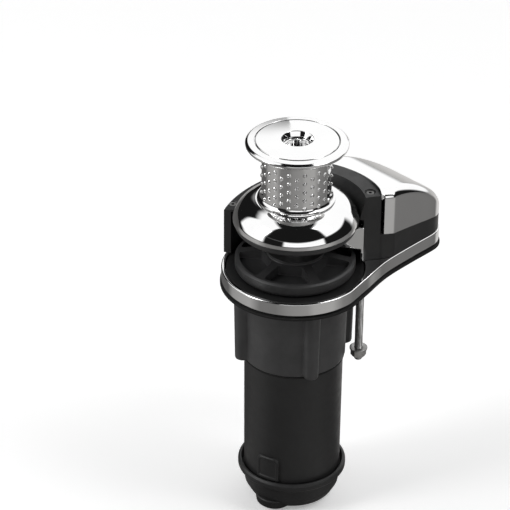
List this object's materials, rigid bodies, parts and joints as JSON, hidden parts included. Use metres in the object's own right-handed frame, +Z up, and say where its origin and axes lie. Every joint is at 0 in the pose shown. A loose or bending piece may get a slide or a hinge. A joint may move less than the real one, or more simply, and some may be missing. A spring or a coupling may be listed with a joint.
{
  "type": "vertical anchor windlass",
  "caption": "Vertical sailboat anchor windlass: capstan drum over a rope and chain gypsy on a teardrop deck plate, with guard, hood, and a geared motor below deck.",
  "frame": {"origin": "on the shaft axis, in the plane of the deck's top surface, which is the gasket's underside", "axes": "+Z up out of the deck along the shaft, -Y toward the bow, where the chain comes in, +X to the side where the chain hood and pipe lie"},
  "size_m": [0.2099, 0.185, 0.3871],
  "materials": {
    "chrome": "polished",
    "black_paint": "satin black coating",
    "black_plastic": "moulded matt",
    "rubber": "matt",
    "steel": "machined",
    "bronze": "machined",
    "ferrite": "dull grey-black"
  },
  "bodies": {
    "base": {"deck_gasket": "rubber", "deck_plate": "chrome", "base_ring": "black_paint", "chain_pipe_liner": "black_plastic", "stud_1": "steel", "stud_2": "steel", "stud_3": "steel", "washer_1": "steel", "washer_2": "steel", "washer_3": "steel", "nut_1": "steel", "nut_2": "steel", "nut_3": "steel", "guard_housing": "black_paint", "housing_screw_right": "steel", "housing_screw_left": "steel", "chain_hood": "chrome", "chain_stripper": "chrome", "arm_pin": "steel", "gearbox_housing": "black_paint", "upper_bearing": "bronze", "shaft_seal": "rubber", "ring_gear": "steel", "motor_flange": "steel", "motor_top_bearing": "steel", "motor_gasket": "rubber", "motor_tube": "black_paint", "terminal_cover": "black_plastic", "magnet_1": "ferrite", "magnet_2": "ferrite", "magnet_3": "ferrite", "magnet_4": "ferrite", "brush_plate": "black_plastic", "brush_1": "ferrite", "brush_2": "ferrite", "end_cap": "black_paint", "motor_low_bearing": "steel"},
    "shaft": {"main_shaft": "steel", "shaft_key": "steel", "lower_clutch_cone": "bronze", "carrier_output": "steel"},
    "drum": {"capstan_drum": "chrome", "drum_cap": "chrome", "clutch_dome": "chrome"},
    "clutch_nut": {"clutch_nut": "chrome"},
    "gypsy": {"gypsy_lower": "black_paint", "gypsy_upper": "black_paint", "rope_grip_ring": "chrome"},
    "arm": {"pressure_arm": "steel"},
    "armature": {"armature_shaft": "steel", "armature_core": "steel", "commutator": "bronze"},
    "first_carrier": {"carrier_first": "steel"},
    "planet_a1": {"planet_a1": "steel"},
    "planet_a2": {"planet_a2": "steel"},
    "planet_a3": {"planet_a3": "steel"},
    "planet_b1": {"planet_b1": "steel"},
    "planet_b2": {"planet_b2": "steel"},
    "planet_b3": {"planet_b3": "steel"}
  },
  "joints": [
    {"name": "shaft_spin", "type": "hinge", "parent": "base", "child": "shaft", "pos_m": [0, 0, 0], "axis": [0, 0, 1], "continuous": true},
    {"name": "drum_lift", "type": "slide", "parent": "shaft", "child": "drum", "axis": [0, 0, 1], "range_m": [0, 0.0012]},
    {"name": "clutch_nut_turn", "type": "hinge", "parent": "drum", "child": "clutch_nut", "pos_m": [0, 0, 0.137], "axis": [0, 0, 1], "range_deg": [0, 216.5]},
    {"name": "gypsy_spin", "type": "hinge", "parent": "shaft", "child": "gypsy", "pos_m": [0, 0, 0.04], "axis": [0, 0, 1], "continuous": true},
    {"name": "arm_pivot", "type": "hinge", "parent": "base", "child": "arm", "pos_m": [0.084, 0.039, 0.0408], "axis": [0, 0, 1], "range_deg": [-25, 0], "stiffness_Nm_per_rad": 0.4, "springref_deg": 14.32},
    {"name": "armature_spin", "type": "hinge", "parent": "base", "child": "armature", "pos_m": [0, 0, -0.1], "axis": [0, 0, 1], "continuous": true},
    {"name": "first_carrier_spin", "type": "hinge", "parent": "base", "child": "first_carrier", "pos_m": [0, 0, -0.04], "axis": [0, 0, 1], "continuous": true},
    {"name": "planet_a1_spin", "type": "hinge", "parent": "first_carrier", "child": "planet_a1", "pos_m": [0.02415, 0, -0.052], "axis": [0, 0, 1], "continuous": true},
    {"name": "planet_a2_spin", "type": "hinge", "parent": "first_carrier", "child": "planet_a2", "pos_m": [-0.01208, 0.02091, -0.052], "axis": [0, 0, 1], "continuous": true},
    {"name": "planet_a3_spin", "type": "hinge", "parent": "first_carrier", "child": "planet_a3", "pos_m": [-0.01208, -0.02091, -0.052], "axis": [0, 0, 1], "continuous": true},
    {"name": "planet_b1_spin", "type": "hinge", "parent": "shaft", "child": "planet_b1", "pos_m": [0.02415, 0, -0.0304], "axis": [0, 0, 1], "continuous": true},
    {"name": "planet_b2_spin", "type": "hinge", "parent": "shaft", "child": "planet_b2", "pos_m": [-0.01208, 0.02091, -0.0304], "axis": [0, 0, 1], "continuous": true},
    {"name": "planet_b3_spin", "type": "hinge", "parent": "shaft", "child": "planet_b3", "pos_m": [-0.01208, -0.02091, -0.0304], "axis": [0, 0, 1], "continuous": true}
  ],
  "couplings": [
    {"joint": "clutch_nut_turn", "follows": "drum_lift", "rad_per_m": 3141.6},
    {"joint": "armature_spin", "follows": "shaft_spin", "ratio": 21.778},
    {"joint": "first_carrier_spin", "follows": "shaft_spin", "ratio": 4.6667},
    {"joint": "planet_a1_spin", "follows": "shaft_spin", "ratio": -12.833},
    {"joint": "planet_a2_spin", "follows": "shaft_spin", "ratio": -12.833},
    {"joint": "planet_a3_spin", "follows": "shaft_spin", "ratio": -12.833},
    {"joint": "planet_b1_spin", "follows": "shaft_spin", "ratio": -2.75},
    {"joint": "planet_b2_spin", "follows": "shaft_spin", "ratio": -2.75},
    {"joint": "planet_b3_spin", "follows": "shaft_spin", "ratio": -2.75}
  ]
}
